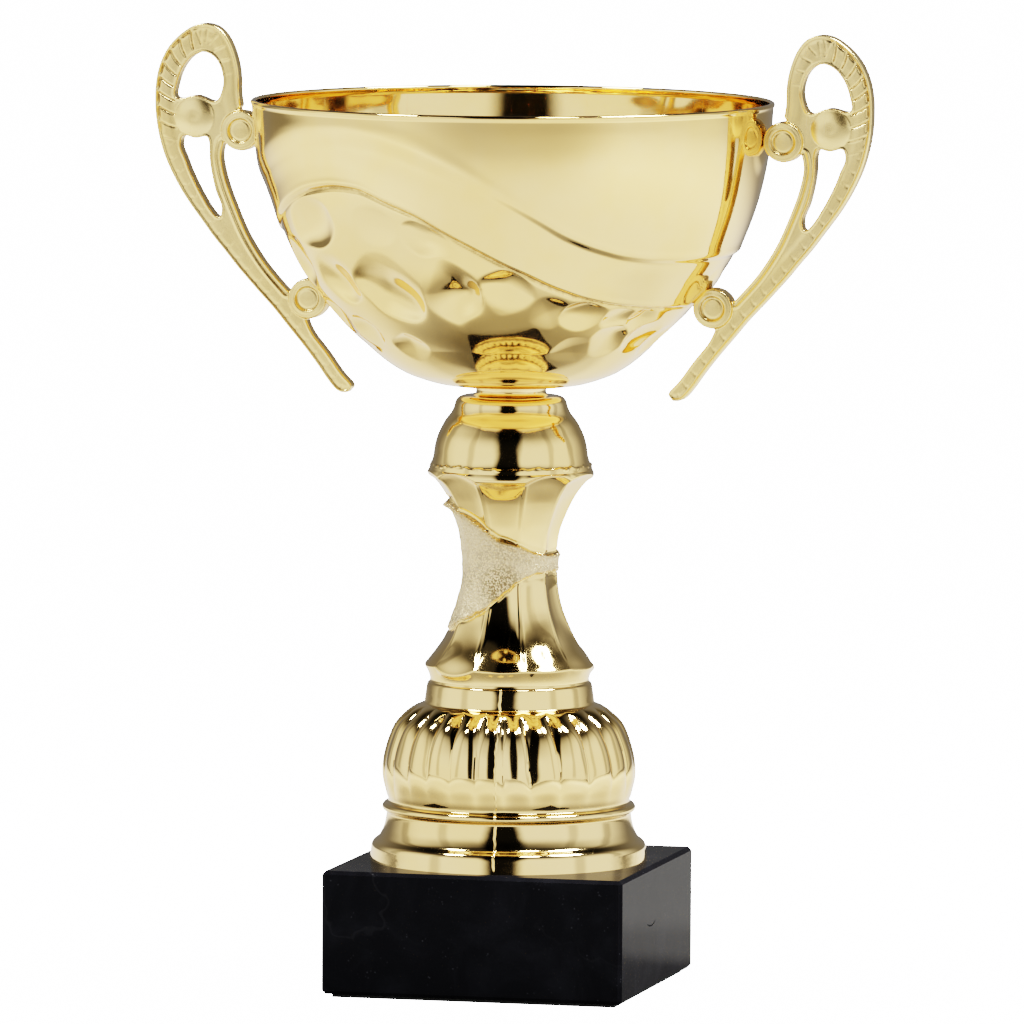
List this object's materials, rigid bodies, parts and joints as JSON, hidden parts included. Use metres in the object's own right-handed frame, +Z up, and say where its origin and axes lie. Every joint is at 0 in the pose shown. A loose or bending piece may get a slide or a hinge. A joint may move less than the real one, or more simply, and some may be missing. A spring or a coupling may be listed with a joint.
{
  "type": "cup trophy",
  "caption": "Wide open gold bowl with two pierced scroll handles, on a waisted column and gadrooned foot over a square polished black stone plinth.",
  "frame": {"origin": "middle of the felt pad's underside, on the surface the trophy stands on", "axes": "+Z up along the rod, X through the two handles, -Y out of the plinth's front face"},
  "size_m": [0.1988, 0.1412, 0.2591],
  "materials": {
    "felt": "matte",
    "stone": "polished",
    "steel": "satin",
    "gold_plastic": "metallised mirror",
    "gold_sheet": "polished",
    "satin_gold_plastic": "satin"
  },
  "bodies": {
    "root": {"base_felt": "felt", "marble_base": "stone", "base_washer": "steel", "base_nut": "steel", "tie_rod": "steel", "foot": "gold_plastic", "column": "gold_plastic", "column_cap": "gold_plastic", "bowl": "gold_sheet", "bowl_washer": "steel", "bowl_nut": "steel", "handle_left": "satin_gold_plastic", "handle_right": "satin_gold_plastic", "handle_screws": "steel", "screw_washers": "steel"}
  },
  "joints": []
}
